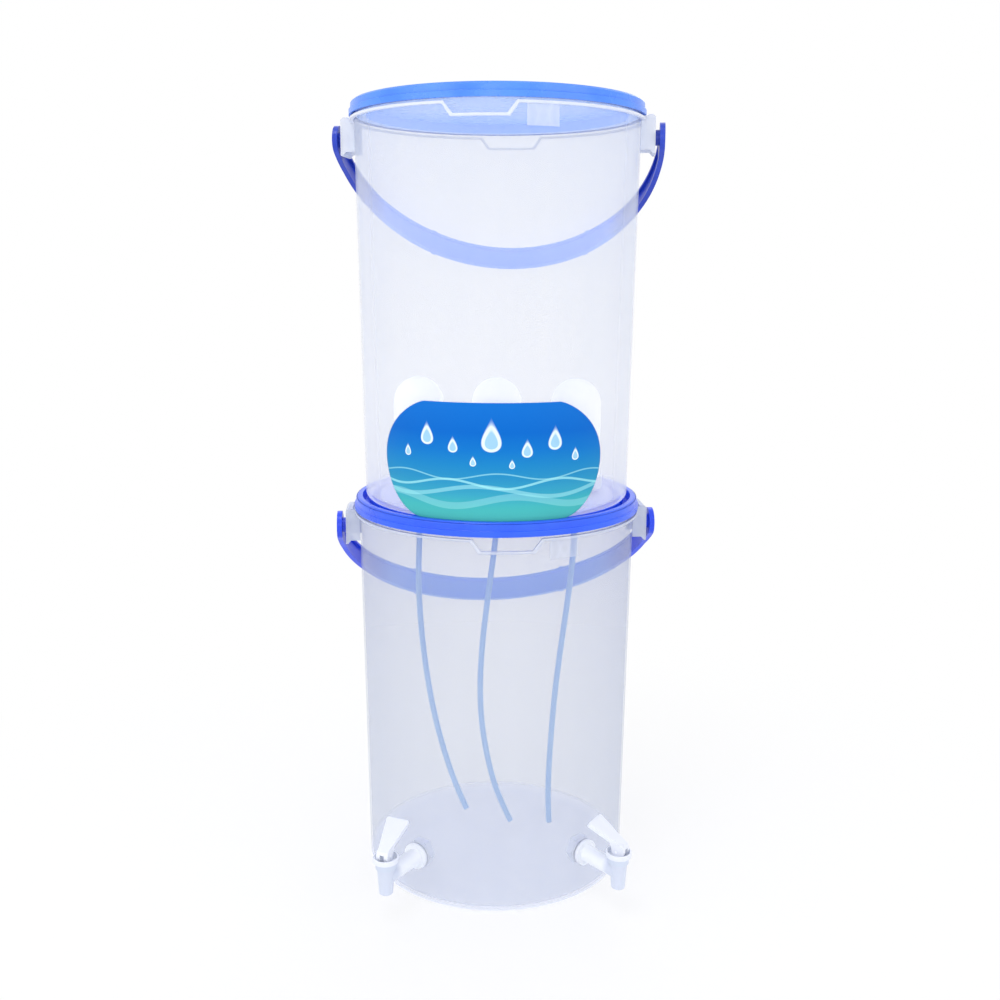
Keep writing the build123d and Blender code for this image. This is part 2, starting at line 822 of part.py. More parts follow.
def tap_seat():
    """Silicone plug that closes the spout and holds the stem's barb."""
    barb_z = chamber_floor + 3.0
    rod_hole = stem_rod_radius + running
    top = chamber_floor + seat_height
    with BuildPart() as seat:
        with BuildSketch(Plane.XZ):
            with BuildLine():
                Polyline(
                    (0, chamber_floor),
                    (seat_radius, chamber_floor),
                    (seat_radius, chamber_floor + 2.5),
                    (seat_radius - 1.2, top),
                    (rod_hole, top),
                    (rod_hole, barb_z + barb_height + running),
                    (barb_radius + running, barb_z + barb_height + running),
                    (barb_radius + running, barb_z - running),
                    (rod_hole, barb_z - running),
                    (rod_hole, chamber_floor + 1.5 - running),
                    (0, chamber_floor + 1.5 - running),
                    close=True,
                )
            make_face()
        revolve(axis=Axis.Z)
    return seat.part


def wall_gasket(start, length, grow):
    """Ring on the shank whose face follows the bucket's curved wall."""
    wall_solid = bucket_envelope(grow, 0, 4 * tap_height)
    wall_solid = wall_solid.moved(Location((-tap_reach, 0, -tap_height)))
    mode = Mode.SUBTRACT if grow >= 0 else Mode.INTERSECT
    with BuildPart() as gasket:
        with BuildSketch(across(start)):
            Circle(gasket_radius)
            Circle(shank_radius + running, mode=Mode.SUBTRACT)
        extrude(amount=length)
        add(wall_solid, mode=mode)
    return gasket.part


def tap_nut():
    """Hexagon nut that clamps the tap from inside the bucket."""
    with BuildPart() as nut:
        with BuildSketch(across(nut_x - tap_nut_height)):
            hexagon(tap_nut_size)
            Circle(shank_radius + running, mode=Mode.SUBTRACT)
        extrude(amount=tap_nut_height)
    return nut.part


def lever_paddle():
    """Tapered flat paddle that leans back over the barrel."""
    slope = radians(paddle_slope)
    top_face = Plane(
        origin=(paddle_start[0], 0, paddle_start[1]),
        x_dir=(cos(slope), 0, sin(slope)),
        z_dir=(-sin(slope), 0, cos(slope)),
    )
    with BuildPart() as paddle:
        with BuildSketch(top_face) as outline:
            Polygon(
                (0, -paddle_narrow / 2), (paddle_length, -paddle_wide / 2),
                (paddle_length, paddle_wide / 2), (0, paddle_narrow / 2),
                align=None,
            )
            far_corners = outline.vertices().sort_by(Axis.X)[-2:]
            fillet(far_corners, 2.0)
        extrude(amount=-paddle_thickness)
        fillet(paddle.faces().sort_by(Axis.Z)[-1].edges(), 0.5)
    return paddle.part


def tap_lever():
    """Forked lever whose round foot is set off its pin, so that tipping it lifts the stem."""
    start = radians(180 - lever_swing / 2)
    foot_x = lift_eccentric * cos(start)
    foot_z = lift_eccentric * sin(start)
    back_x = foot_x + foot_radius
    slot_back = slot_top = stem_rod_radius + 1.4
    with BuildPart() as lever:
        with BuildSketch(Plane.XZ):
            with Locations((foot_x, foot_z)):
                Circle(foot_radius)
            Polygon(
                (foot_x - foot_radius, foot_z),
                (paddle_start[0], paddle_start[1] - 0.3),
                (back_x + 4.5, 14.5),
                (back_x, foot_z),
                align=None,
            )
        extrude(amount=hub_width / 2, both=True)
        add(lever_paddle())
        with BuildSketch(Plane.XZ):
            Polygon(
                (-foot_radius - 4, -foot_radius - 2),
                (-foot_radius - 4, slot_top),
                (slot_back, slot_top),
                (slot_back, -foot_radius - 2),
                align=None,
            )
        extrude(amount=hub_slot / 2, both=True, mode=Mode.SUBTRACT)
        with BuildSketch(Plane.XZ):
            Circle(pin_radius + running)
        extrude(amount=hub_width, both=True, mode=Mode.SUBTRACT)
    return lever.part.moved(Location((0, 0, pin_z)))


outer_gasket = wall_gasket(wall_x - 1.5, flange_x - wall_x + 1.5, 0)
inner_gasket = wall_gasket(nut_x, 3 * gasket_thickness, -wall)
fixed_pieces = {
    "body": tap_body(),
    "bonnet": tap_bonnet(),
    "gland": ring(
        gland_radius - running, stem_rod_radius + running, chamber_top - gland_thickness, gland_thickness,
    ),
    "seat": tap_seat(),
    "outer_gasket": outer_gasket,
    "inner_gasket": inner_gasket,
    "nut": tap_nut(),
}
swivelling_pieces = {"stem": tap_stem(), "lever": tap_lever()}
for side, turn in tap_turns.items():
    spout_axis = Location((0, 0, tap_height), (0, 0, turn - 90)) * Location((tap_reach, 0, 0))
    for piece, shape in fixed_pieces.items():
        save(shape.moved(spout_axis), f"tap_{side}_{piece}")
    # the lever's own frame leans back along +X, towards the bucket
    swivel = spout_axis * Location((0, 0, 0), (0, 0, 180 + lever_twists[side]))
    for piece, shape in swivelling_pieces.items():
        save(shape.moved(swivel), f"tap_{side}_{piece}")

print(f"handle hangs {handle_rest:.2f} degrees below horizontal, stack pitch {stack_pitch:.2f}")
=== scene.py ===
# %% [markdown]
# # A gravity water filter in two milky buckets
# Water is poured into the upper bucket, seeps through three ceramic candles, runs down three thin
# hoses and is drawn from two lever taps at the foot of the lower bucket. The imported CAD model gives
# every piece its place, so each step below either gives a CAD piece its finish or lays a smoother,
# more detailed skin exactly where that piece is.

# %% Load the frame
import json
import math
import bmesh
import bpy
import numpy as np
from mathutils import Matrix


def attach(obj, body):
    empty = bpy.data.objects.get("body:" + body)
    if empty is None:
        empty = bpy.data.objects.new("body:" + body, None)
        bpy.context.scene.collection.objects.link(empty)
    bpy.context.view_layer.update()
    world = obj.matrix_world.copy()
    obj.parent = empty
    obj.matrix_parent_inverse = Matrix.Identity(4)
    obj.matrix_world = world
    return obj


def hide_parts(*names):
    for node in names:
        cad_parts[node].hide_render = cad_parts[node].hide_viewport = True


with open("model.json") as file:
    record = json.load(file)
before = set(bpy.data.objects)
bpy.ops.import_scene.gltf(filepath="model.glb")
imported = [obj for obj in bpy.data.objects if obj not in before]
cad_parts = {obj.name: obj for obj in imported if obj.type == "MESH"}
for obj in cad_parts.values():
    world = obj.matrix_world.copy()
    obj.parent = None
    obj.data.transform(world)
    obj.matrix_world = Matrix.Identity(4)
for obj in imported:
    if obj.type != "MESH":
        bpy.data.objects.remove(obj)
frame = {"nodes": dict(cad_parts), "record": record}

scene = bpy.context.scene
nodes = frame["nodes"]
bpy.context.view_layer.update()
MM = 0.001

# %% [markdown]
# ## Camera
# The filter stands as for a catalogue picture: seen from the front, with the lens 1.1 m away, a
# little above the upper bucket's middle and tipped down a little. A slight lens shift puts the
# optical axis above the middle of the picture and so tips the lens less. It is small, because every
# other view keeps it too.

# %% Set the camera
SENSOR_WIDTH = 36
CAMERA_DISTANCE, CAMERA_HEIGHT, CAMERA_TILT, CAMERA_ROLL = 1.1102, 0.6120, 0.1490, 0.0032
PICTURE_WIDTH, FOCAL_PIXELS, AXIS_X, AXIS_Y = 1000, 1105.0, 496.6, 433.0
camera_data = bpy.data.cameras.new("camera")
camera = bpy.data.objects.new("camera", camera_data)
scene.collection.objects.link(camera)
camera.location = (0, -CAMERA_DISTANCE, CAMERA_HEIGHT)
camera.rotation_mode = "ZYX"
camera.rotation_euler = (math.pi / 2 - CAMERA_TILT, 0, CAMERA_ROLL)
camera_data.sensor_width = SENSOR_WIDTH
camera_data.lens = SENSOR_WIDTH * FOCAL_PIXELS / PICTURE_WIDTH
camera_data.shift_x = (PICTURE_WIDTH / 2 - AXIS_X) / PICTURE_WIDTH
camera_data.shift_y = (AXIS_Y - PICTURE_WIDTH / 2) / PICTURE_WIDTH
camera_data.clip_start = 0.05
scene.camera = camera
print("lens", round(camera_data.lens, 1), "mm, shift", round(camera_data.shift_y, 3))

# %% [markdown]
# ## Hoses
# The three hoses are soft polyethylene tubing, 6 mm thick, pushed onto the nipples under the lid
# plate. Tubing keeps some of the curl of its reel, so each hangs in its own lazy bow. One smooth
# spline along a few listed points gives that better than any physics would.

# %% Lay the hoses' routes
HOSE_DIAMETER = 6.0 * MM
hose_routes = {
    "left": [
        (-0.0795, 0.0086, 0.3613), (-0.0795, 0.0086, 0.3338), (-0.0815, 0.009, 0.2912),
        (-0.079, 0.007, 0.2403), (-0.073, 0.005, 0.1875), (-0.064, 0.003, 0.138),
        (-0.052, 0.001, 0.0943), (-0.0405, -0.001, 0.0614), (-0.031, -0.002, 0.0405),
    ],
    "centre": [
        (0.0, 0.0, 0.3613), (0.0, 0.0, 0.3422), (-0.0032, 0.0005, 0.3132), (-0.009, 0.001, 0.2695),
        (-0.0149, 0.0005, 0.2182), (-0.017, -0.0005, 0.1673), (-0.0135, -0.001, 0.1218),
        (-0.0033, 0.0, 0.0723), (0.0076, 0.001, 0.043), (0.016, 0.0022, 0.0246),
    ],
    "right": [
        (0.0795, -0.0086, 0.3613), (0.0795, -0.0086, 0.3422), (0.0783, -0.008, 0.3132),
        (0.0738, -0.0062, 0.2695), (0.0677, -0.0036, 0.2218), (0.0617, -0.0012, 0.1673),
        (0.0581, 0.0002, 0.1142), (0.0561, 0.0008, 0.0686), (0.0565, 0.0014, 0.0412),
        (0.0575, 0.0018, 0.0235),
    ],
}

# %% Make the hoses
hoses = {}
for side, route in hose_routes.items():
    curve = bpy.data.curves.new(f"hose_{side}_tube", "CURVE")
    curve.dimensions = "3D"
    spline = curve.splines.new("NURBS")
    spline.points.add(len(route) - 1)
    for point, place in zip(spline.points, route):
        point.co = (*place, 1)
        point.radius = HOSE_DIAMETER / 2
    spline.order_u = 3
    spline.use_endpoint_u = True
    spline.resolution_u = 12
    curve.bevel_depth = 1.0  # the points' own radius says how thick, and so keeps the curve's box true
    curve.bevel_resolution = 8
    curve.use_fill_caps = True
    hose = bpy.data.objects.new(f"hose_{side}_tube", curve)
    scene.collection.objects.link(hose)
    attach(hose, "upper_unit")
    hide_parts(f"hose_{side}")
    hoses[side] = hose
print("hoses", list(hoses))

# %% [markdown]
# ## Colours and nodes
# Paint charts give colours in sRGB, as a screen shows them, while the renderer adds up light, which
# needs linear values. One function turns the one into the other, and one adds a shader node with its
# settings and links, so every finish below reads as a list of what goes into what.

# %% Helpers for materials
def linear(code):
    """Linear RGBA of an sRGB hex colour: each channel c becomes ((c + 0.055) / 1.055) ** 2.4, and a
    dark one, up to 0.04045, becomes c / 12.92."""
    rgb = np.array([int(code[i:i + 2], 16) for i in (1, 3, 5)]) / 255
    low, high = rgb / 12.92, ((rgb + 0.055) / 1.055) ** 2.4
    return (*np.where(rgb <= 0.04045, low, high).tolist(), 1.0)


def add(owner, kind, inputs=None, stops=(), **settings):
    """Adds a node. A node or socket among the inputs is linked, a node by its first output, and any
    other value is set. Stops are a colour ramp's positions and hex colours."""
    node = owner.node_tree.nodes.new(kind)
    for name, value in settings.items():
        setattr(node, name, value)
    for name, value in (inputs or {}).items():
        if isinstance(value, bpy.types.Node):
            value = value.outputs[0]
        if isinstance(value, bpy.types.NodeSocket):
            owner.node_tree.links.new(value, node.inputs[name])
        else:
            node.inputs[name].default_value = value
    for index, (position, code) in enumerate(stops):
        if index > 1:
            node.color_ramp.elements.new(1.0)
        node.color_ramp.elements[index].position = position
        node.color_ramp.elements[index].color = linear(code)
    return node


def start(name):
    """A new material with no nodes in it yet."""
    material = bpy.data.materials.new(name)
    material.use_nodes = True
    material.node_tree.nodes.clear()
    return material


# %% [markdown]
# ## Natural polypropylene
# The buckets are injection-moulded polypropylene without pigment. Its crystals scatter light, so a
# 1.8 mm wall looks like frosted glass, while the lip, the neck rib, the ears and the solid foot ring
# are thick enough to look white. How much passes straight through a surface is worked out as for
# mist: it falls off exponentially with the thickness, and with the slant at which one looks through.

# %% Measure how thick the plastic is
STACK_PITCH, NECK_HEIGHT = 0.3835, 0.367
FOOT_RADIUS, NECK_RADIUS = 0.1321, 0.1393
PROUD_WALLS, FOOT_WALLS = 4.5, 2.0  # how many walls a lip, rib or ear and a bucket's floor add


def added_walls(material, place, foot):
    """How many walls are added to the wall's own, and the floor's share in that. A lip, rib or ear is
    where the distance off the axis exceeds the wall's cone, whose radius grows evenly with the height
    above the foot. The floor is known by its height."""
    level = add(material, "ShaderNodeVectorMath", {0: place, 1: (1, 1, 0)}, operation="MULTIPLY")
    radius = add(material, "ShaderNodeVectorMath", {0: level}, operation="LENGTH").outputs["Value"]
    up = add(material, "ShaderNodeSeparateXYZ", {"Vector": place}).outputs["Z"]
    height = add(material, "ShaderNodeMath", {0: up, 1: foot}, operation="SUBTRACT")
    taper = (NECK_RADIUS - FOOT_RADIUS) / NECK_HEIGHT
    cone = add(
        material, "ShaderNodeMath", {0: height, 1: taper, 2: FOOT_RADIUS}, operation="MULTIPLY_ADD",
    )
    outside = add(material, "ShaderNodeMath", {0: radius, 1: cone}, operation="SUBTRACT")
    proud = add(
        material, "ShaderNodeMapRange",
        {"Value": outside, "From Min": 0.4 * MM, "From Max": 1.0 * MM, "To Max": PROUD_WALLS},
    )
    solid = add(
        material, "ShaderNodeMapRange",
        {"Value": height, "From Min": 2.0 * MM, "From Max": 7.0 * MM, "To Min": FOOT_WALLS, "To Max": 0.0},
    )
    return add(material, "ShaderNodeMath", {0: proud, 1: solid}, operation="MAXIMUM"), solid


# %% [markdown]
# Light that meets the wall at a slant has a longer way through it. Inside the plastic it bends
# towards the wall's own direction, so even a glancing look meets no more than about twice the wall.

# %% Work out what passes straight through
def straight_share(material, thicker, haze):
    """exp(-depth / slant). Depth is haze times one plus the added walls, and slant is the root of 0.3
    + 0.7 times the squared cosine between the surface's direction and the line of sight."""
    depth = add(material, "ShaderNodeMath", {0: thicker, 1: haze, 2: haze}, operation="MULTIPLY_ADD")
    facing = add(material, "ShaderNodeLayerWeight", {"Blend": 0.5}).outputs["Facing"]
    cosine = add(material, "ShaderNodeMath", {0: 1.0, 1: facing}, operation="SUBTRACT")
    squared = add(material, "ShaderNodeMath", {0: cosine, 1: cosine}, operation="MULTIPLY")
    inside = add(material, "ShaderNodeMath", {0: squared, 1: 0.7, 2: 0.3}, operation="MULTIPLY_ADD")
    slant = add(material, "ShaderNodeMath", {0: inside}, operation="SQRT")
    path = add(material, "ShaderNodeMath", {0: depth, 1: slant}, operation="DIVIDE")
    fading = add(material, "ShaderNodeMath", {0: path, 1: -1.0}, operation="MULTIPLY")
    return add(material, "ShaderNodeMath", {0: fading}, operation="EXPONENT")


# %% [markdown]
# Of the light that is scattered, two fifths go on into the bucket, which keeps its inside bright,
# and a quarter of that in a thick place, which looks whiter. The mould leaves a fine satin grain,
# and the melt's flow leaves faint streaks up the wall. Walls all round a bucket's floor scatter
# their light onto it, and a little glow there stands in for that.

# %% Mix the bucket plastic
PLASTIC_IOR = 1.49
STREAK_WIDTH, GRAIN = 18 * MM, 1.1 * MM
FORWARD, THICK_PART = 0.4, 0.25
FOOT_GLOW = 0.35


def natural_polypropylene(name, foot, haze, light, deep):
    """Milky plastic: a share of the light passes straight through and the rest is scattered."""
    material = start(name)
    place = add(material, "ShaderNodeTexCoord").outputs["Object"]
    thicker, solid = added_walls(material, place, foot)
    clear = straight_share(material, thicker, haze)
    stretched = add(material, "ShaderNodeMapping", {"Vector": place, "Scale": (1.0, 1.0, 0.04)})
    streaks = add(
        material, "ShaderNodeTexNoise",
        {"Vector": stretched, "Scale": 1 / STREAK_WIDTH, "Detail": 4.0, "Roughness": 0.6},
    )
    tone = add(material, "ShaderNodeValToRGB", {"Fac": streaks}, stops=[(0.30, deep), (0.70, light)])
    scuffs = add(
        material, "ShaderNodeTexNoise",
        {"Vector": place, "Scale": 1 / (4 * STREAK_WIDTH), "Detail": 6.0, "Roughness": 0.65},
    )
    rough = add(material, "ShaderNodeMapRange", {"Value": scuffs, "To Min": 0.30, "To Max": 0.46})
    grain = add(material, "ShaderNodeTexNoise", {"Vector": place, "Scale": 1 / GRAIN, "Detail": 2.0})
    bump = add(material, "ShaderNodeBump", {"Height": grain, "Strength": 0.05, "Distance": 0.4 * MM})
    at_foot = add(material, "ShaderNodeMath", {0: solid, 1: FOOT_WALLS}, operation="DIVIDE")
    colours = {"Factor": at_foot, 6: (0, 0, 0, 1), 7: linear("#fffbfc")}
    lit = add(material, "ShaderNodeMix", colours, data_type="RGBA").outputs[2]
    back = add(
        material, "ShaderNodeBsdfPrincipled",
        {"Base Color": tone, "Roughness": rough, "Normal": bump, "IOR": PLASTIC_IOR,
         "Emission Color": lit, "Emission Strength": FOOT_GLOW},
    )
    through = add(material, "ShaderNodeBsdfTranslucent", {"Color": tone, "Normal": bump})
    onward = add(
        material, "ShaderNodeMapRange",
        {"Value": thicker, "From Max": PROUD_WALLS, "To Min": FORWARD, "To Max": THICK_PART * FORWARD},
    )
    milk = add(material, "ShaderNodeMixShader", {"Fac": onward, 1: back, 2: through})
    straight = add(material, "ShaderNodeBsdfTransparent")
    shown = add(material, "ShaderNodeMixShader", {"Fac": clear, 1: milk, 2: straight})
    add(material, "ShaderNodeOutputMaterial", {"Surface": shown})
    return material


# %% [markdown]
# Both buckets are one plastic. The lower one is painted a greyer tone: painted shade, for the shade inside it
# under the upper bucket and its lid.

# %% Make both buckets' plastic
UPPER_HAZE, LOWER_HAZE = 0.195, 0.185
upper_plastic = natural_polypropylene(
    "natural_polypropylene", STACK_PITCH, UPPER_HAZE, "#f8faff", "#f1f5fe",
)
# the lower bucket's greyer tone is painted shade
shaded_lower_plastic = natural_polypropylene(
    "natural_polypropylene_shaded", 0.0, LOWER_HAZE, "#e0e6f3", "#d8dfee",
)
for name, haze in (("upper", UPPER_HAZE), ("lower", LOWER_HAZE)):
    print(name, "wall lets straight through, by its two faces", round(math.exp(-2 * haze), 2))

# %% [markdown]
# ## Pigmented and white mouldings
# Lids and handles are polypropylene with blue pigment: glossier than they look, with a slight
# unevenness where the melt cooled. The taps and candle cups are white moulded plastic. All of them
# share one recipe with other colours, gloss and grain. A zone of a piece can be painted another
# colour with a glow. A handle's strap, a thin web between solid legs, and the upper lid's panel,
# thinner than its rim, are painted lighter and glow: painted light, for the light that comes through
# them. A tap's spout and the skirt of its bonnet are painted greyer: painted shade under the
# bonnet's ring and the lever.

# %% Mix the opaque plastics
CLOUD, SKIN_GRAIN = 45 * MM, 0.9 * MM


def moulded_plastic(name, light, deep, rough, grain=0.04, glow=0.0, painted_light_zone=None):
    """Moulded plastic: cloudy tone, satin grain and a roughness that wanders a little. Glow is painted
    light: it stands in for the light that milky walls all round a piece scatter onto it. The painted
    light zone is a part of the piece painted another colour, lighter where it stands in for light
    that comes through and greyer where it stands in for shade: the directions in which to measure
    the distance off the stack's axis, the distance where the zone starts and the one where it is
    full, its colour there and its glow, on a scale from 0 to 1."""
    material = start(name)
    place = add(material, "ShaderNodeTexCoord").outputs["Object"]
    clouds = add(
        material, "ShaderNodeTexNoise",
        {"Vector": place, "Scale": 1 / CLOUD, "Detail": 5.0, "Roughness": 0.6},
    )
    tone = add(material, "ShaderNodeValToRGB", {"Fac": clouds}, stops=[(0.32, deep), (0.68, light)])
    gloss = add(
        material, "ShaderNodeMapRange", {"Value": clouds, "To Min": rough - 0.06, "To Max": rough + 0.08},
    )
    skin = add(material, "ShaderNodeTexNoise", {"Vector": place, "Scale": 1 / SKIN_GRAIN, "Detail": 2.0})
    bump = add(material, "ShaderNodeBump", {"Height": skin, "Strength": grain, "Distance": 0.4 * MM})
    lit = tone
    if painted_light_zone:
        directions, plain_at, painted_at, code, glow = painted_light_zone
        flat = add(material, "ShaderNodeVectorMath", {0: place, 1: directions}, operation="MULTIPLY")
        off = add(material, "ShaderNodeVectorMath", {0: flat}, operation="LENGTH").outputs["Value"]
        share = add(
            material, "ShaderNodeMapRange", {"Value": off, "From Min": plain_at, "From Max": painted_at},
        )
        colours = {"Factor": share, 6: tone, 7: linear(code)}
        tone = add(material, "ShaderNodeMix", colours, data_type="RGBA").outputs[2]
        colours = {"Factor": share, 6: (0, 0, 0, 1), 7: linear(code)}
        lit = add(material, "ShaderNodeMix", colours, data_type="RGBA").outputs[2]
    shown = add(
        material, "ShaderNodeBsdfPrincipled",
        {"Base Color": tone, "Roughness": gloss, "Normal": bump, "IOR": PLASTIC_IOR,
         "Emission Color": lit, "Emission Strength": glow},
    )
    add(material, "ShaderNodeOutputMaterial", {"Surface": shown})
    return material


# %% [markdown]
# Polished moulds make the lids the shiniest pieces, with a clear line of light on their rims, and
# the handles nearly as shiny. The lid on top is painted a paler blue than the lower one: painted
# light, for the light that falls on it from above. The upper handle is painted a darker blue than
# the lower one: painted shade.

# %% Make the blue plastics
lid_plastic = moulded_plastic("blue_polypropylene_lid", "#2f66f8", "#2257ee", 0.28)
# the upper lid is painted paler all over, and its panel lighter with a glow: painted light
lit_lid_plastic = moulded_plastic(
    "blue_polypropylene_lid_lit", "#5494fb", "#4484f6", 0.26,
    painted_light_zone=((1, 1, 0), 139 * MM, 136 * MM, "#98c0ff", 0.16),
)
# the straps are painted lighter and glow: painted light, for the light that comes through the web
handle_plastic = moulded_plastic(
    "blue_polypropylene_handle", "#2750f4", "#1e44e6", 0.30,
    painted_light_zone=((1, 0, 0), 142 * MM, 118 * MM, "#70a1f0", 0.28),
)
# the upper handle's darker blue is painted shade
shaded_handle_plastic = moulded_plastic(
    "blue_polypropylene_handle_shaded", "#2447c8", "#1a38b4", 0.30,
    painted_light_zone=((1, 0, 0), 142 * MM, 118 * MM, "#6c9eff", 0.32),
)
print("blue", [m.name for m in bpy.data.materials if m.name.startswith("blue")])

# %% [markdown]
# The taps' white plastic has a soft shine. Their bodies are painted greyer out where the spout
# hangs, and their bonnets below the ring: painted shade, for the shade under the bonnet's ring and
# the lever. The tap stems and the candles glow a little: painted light, for the light that the milky
# walls round them scatter onto them. Silicone is matt, so a gasket reads as a soft dull ring.
# Extruded hose has the satin look of wax. Fired diatomite is chalky, with no shine at all, and the
# pressed carbon inside it is nearly black and coarse.

# %% Make the other plastics and the candles' stuff
tap_plastic = moulded_plastic("white_tap_plastic", "#eef2fc", "#e9edf8", 0.28)
# tap bodies out at the spout and bonnets below the ring are painted greyer: painted shade
tap_body_plastic = moulded_plastic(
    "white_tap_body_plastic", "#f7faff", "#f1f5fd", 0.28,
    painted_light_zone=((1, 1, 0), 164 * MM, 171 * MM, "#d7deef", 0.0),
)
bonnet_plastic = moulded_plastic(
    "white_tap_bonnet_plastic", "#eef2fc", "#e9edf8", 0.28,
    painted_light_zone=((0, 0, 1), 62 * MM, 61 * MM, "#d5deef", 0.0),
)
# the stems glow a little: painted light, for light the milky walls scatter onto them
stem_plastic = moulded_plastic("white_tap_stem_plastic", "#eef2fc", "#e9edf8", 0.28, glow=0.2)
gasket_silicone = moulded_plastic("white_silicone", "#eef1f8", "#e6e9f2", 0.55)
hose_plastic = moulded_plastic("blue_hose_polyethylene", "#abcbf0", "#9fc2ec", 0.30)
# the candles glow a little: painted light, for light the milky walls scatter onto them
ceramic = moulded_plastic("candle_ceramic", "#fdfcfa", "#f7f6f2", 0.85, grain=0.25, glow=0.24)
carbon = moulded_plastic("activated_carbon", "#2a2a2c", "#1a1a1c", 0.8, grain=0.4)
for hose in hoses.values():
    hose.data.materials.append(hose_plastic)
print("finishes", len(bpy.data.materials))

# %% [markdown]
# ## Label film
# A printed vinyl film, 0.3 mm thick, is wrapped on the front of the upper bucket. It is too stiff to
# bend round the corner at the foot, so it ends as a narrow straight edge over it. Its flat outline
# bulges at both ends. The film is one grid: across it runs the distance round the wall and up it the
# height, so both also serve as its UV map, in decimetres, and the print can be drawn in real sizes.

# %% Work out the film's outline
LABEL_TURN = math.radians(-2.0)
LABEL_LOW, LABEL_MIDDLE, LABEL_HIGH = 0.0006, 0.0551, 0.1089
# at the top and at the foot: half width there, bulge beyond it at mid-height, power of the curve
LABEL_TOP, LABEL_FOOT = (0.0645, 0.0505, 0.75), (0.0715, 0.0435, 0.65)
FILM, FILM_GAP = 0.3 * MM, 0.05 * MM
ARC_TURN = 0.975  # an arc turns less than at the foot, because the wall gets wider
DECIMETRES = 10  # in a metre


def label_half_width(height):
    """Half width: its value at an end plus the bulge times (1 - t squared) to a power, where t runs
    from 0 at mid-height to 1 at that end."""
    up = height > LABEL_MIDDLE
    share = np.where(up, LABEL_HIGH - LABEL_MIDDLE, LABEL_MIDDLE - LABEL_LOW)
    t = np.clip(np.abs(height - LABEL_MIDDLE) / share, 0, 1)
    end, bulge, power = (np.where(up, top, foot) for top, foot in zip(LABEL_TOP, LABEL_FOOT))
    return end + bulge * (1 - t ** 2) ** power


def label_grid(columns=120, rows=56):
    """Points on the outside of the film. Height is spaced more closely near both ends, as a cosine
    runs, and the radius is the tapered wall's plus the film and the gap under it."""
    across, up = np.meshgrid(np.linspace(-1, 1, columns), np.linspace(0, 1, rows))
    height = LABEL_LOW + (LABEL_HIGH - LABEL_LOW) * (1 - np.cos(math.pi * up)) / 2
    arc = across * label_half_width(height)
    radius = FOOT_RADIUS + (NECK_RADIUS - FOOT_RADIUS) * height / NECK_HEIGHT + FILM + FILM_GAP
    turn = arc / FOOT_RADIUS * ARC_TURN + LABEL_TURN
    points = np.stack([radius * np.sin(turn), -radius * np.cos(turn), STACK_PITCH + height], axis=-1)
    return points, np.stack([arc * DECIMETRES, height * DECIMETRES], axis=-1)


# %% Make the label film
def grid_mesh(name, points, uv):
    """Mesh of a grid of points, with its faces outwards and a UV map."""
    rows, columns = points.shape[:2]
    index = np.arange(rows * columns).reshape(rows, columns)
    faces = np.stack(
        [index[:-1, :-1], index[:-1, 1:], index[1:, 1:], index[1:, :-1]], axis=-1,
    ).reshape(-1, 4)
    mesh = bpy.data.meshes.new(name)
    mesh.from_pydata(points.reshape(-1, 3).tolist(), [], faces.tolist())
    layer = mesh.uv_layers.new(name="print")
    layer.uv.foreach_set("vector", uv.reshape(-1, 2)[faces.ravel()].ravel())
    mesh.polygons.foreach_set("use_smooth", np.ones(len(faces), dtype=bool))
    mesh.update()
    return mesh


label_mesh = grid_mesh("label_print", *label_grid())
label = bpy.data.objects.new("label_print", label_mesh)
scene.collection.objects.link(label)
thickness = label.modifiers.new("film", "SOLIDIFY")
thickness.thickness = FILM
thickness.offset = -1
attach(label, "upper_unit")
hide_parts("label")
print("label", [round(v * 1000) for v in label.dimensions], "mm")

# %% [markdown]
# ## Label print
# Water comes as four wave bands, each a sine curve of its own length and height, and as falling
# drops, each with a lighter core. Both are drawn with arithmetic on the UV map, so their edges stay
# crisp at any distance.

# %% Draw the wave bands
BAND_BLUR = 0.003  # all of the print's measures are in decimetres
# height of the middle, height of the swing, waves per decimetre, start, half thickness, strength
WAVES = (
    (0.185, 0.045, 5.2, 0.4, 0.030, 0.30), (0.275, 0.050, 4.3, 2.1, 0.017, 0.45),
    (0.345, 0.040, 5.9, 4.0, 0.009, 0.65), (0.415, 0.030, 6.8, 1.2, 0.005, 0.50),
)


def add_waves(material, across, up, ground):
    """Lays the bands over the ground. A band is where the height differs from its middle plus swing
    times sin(pace times across plus start) by less than half its thickness."""
    for middle, swing, pace, shift, half, strength in WAVES:
        turn = add(material, "ShaderNodeMath", {0: across, 1: pace, 2: shift}, operation="MULTIPLY_ADD")
        swell = add(material, "ShaderNodeMath", {0: turn}, operation="SINE")
        line = add(material, "ShaderNodeMath", {0: swell, 1: swing, 2: middle}, operation="MULTIPLY_ADD")
        away = add(material, "ShaderNodeMath", {0: up, 1: line}, operation="SUBTRACT")
        off = add(material, "ShaderNodeMath", {0: away}, operation="ABSOLUTE")
        band = add(
            material, "ShaderNodeMapRange",
            {"Value": off, "From Min": half, "From Max": half + BAND_BLUR, "To Min": strength, "To Max": 0.0},
        )
        ground = add(
            material, "ShaderNodeMix", {"Factor": band, 6: ground, 7: linear("#a6eef2")}, data_type="RGBA",
        ).outputs[2]
    return ground


# %% [markdown]
# A drop's outline is the piriform curve: at a distance s below its tip, the squared half width is
# proportional to s cubed times the rest of its length.

# %% Draw the drops
# place of the tip across and up, length
DROPS = [
    (-0.62, 0.93, 0.24), (-0.36, 0.80, 0.17), (0.0, 0.98, 0.34), (0.33, 0.78, 0.19), (0.60, 0.90, 0.25),
    (-0.17, 0.62, 0.11), (0.19, 0.59, 0.10), (-0.84, 0.70, 0.13), (0.82, 0.68, 0.14),
]
CORE_DOWN, CORE_LENGTH = 0.26, 0.66
SLIMNESS, DROP_BLUR = 1.15, 0.02


